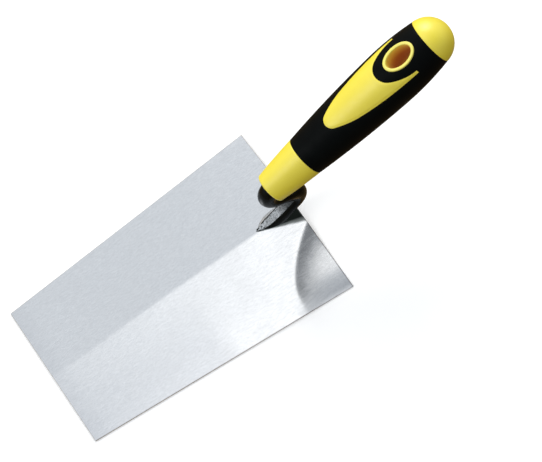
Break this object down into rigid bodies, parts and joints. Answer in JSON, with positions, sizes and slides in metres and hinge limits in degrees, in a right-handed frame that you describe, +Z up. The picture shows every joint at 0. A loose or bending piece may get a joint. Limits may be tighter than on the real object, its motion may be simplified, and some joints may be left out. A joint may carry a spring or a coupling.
{
  "type": "square-front trowel",
  "caption": "Masonry trowel with a square-front trapezoid steel blade, a black S-bent neck and a two-colour soft-grip handle with a hanging hole.",
  "frame": {"origin": "middle of the blade's underside", "axes": "+X from the blade's front edge towards the handle, +Z up through the blade to the hand side, +Y to the left when looking along +X"},
  "size_m": [0.2991, 0.122, 0.1243],
  "materials": {
    "blade_steel": "fine ground, grain along the blade",
    "neck_lacquer": "gloss black lacquer, ground bare on the foot",
    "weld_metal": "ground weld bead",
    "yellow_plastic": "moulded, semi-gloss",
    "black_grip": "fine matt texture"
  },
  "bodies": {
    "root": {"blade": "blade_steel", "neck": "neck_lacquer", "weld_beads": "weld_metal", "handle_core": "yellow_plastic", "grip_sleeve": "black_grip", "hang_eyelet": "yellow_plastic", "butt_cap": "yellow_plastic"}
  },
  "joints": []
}
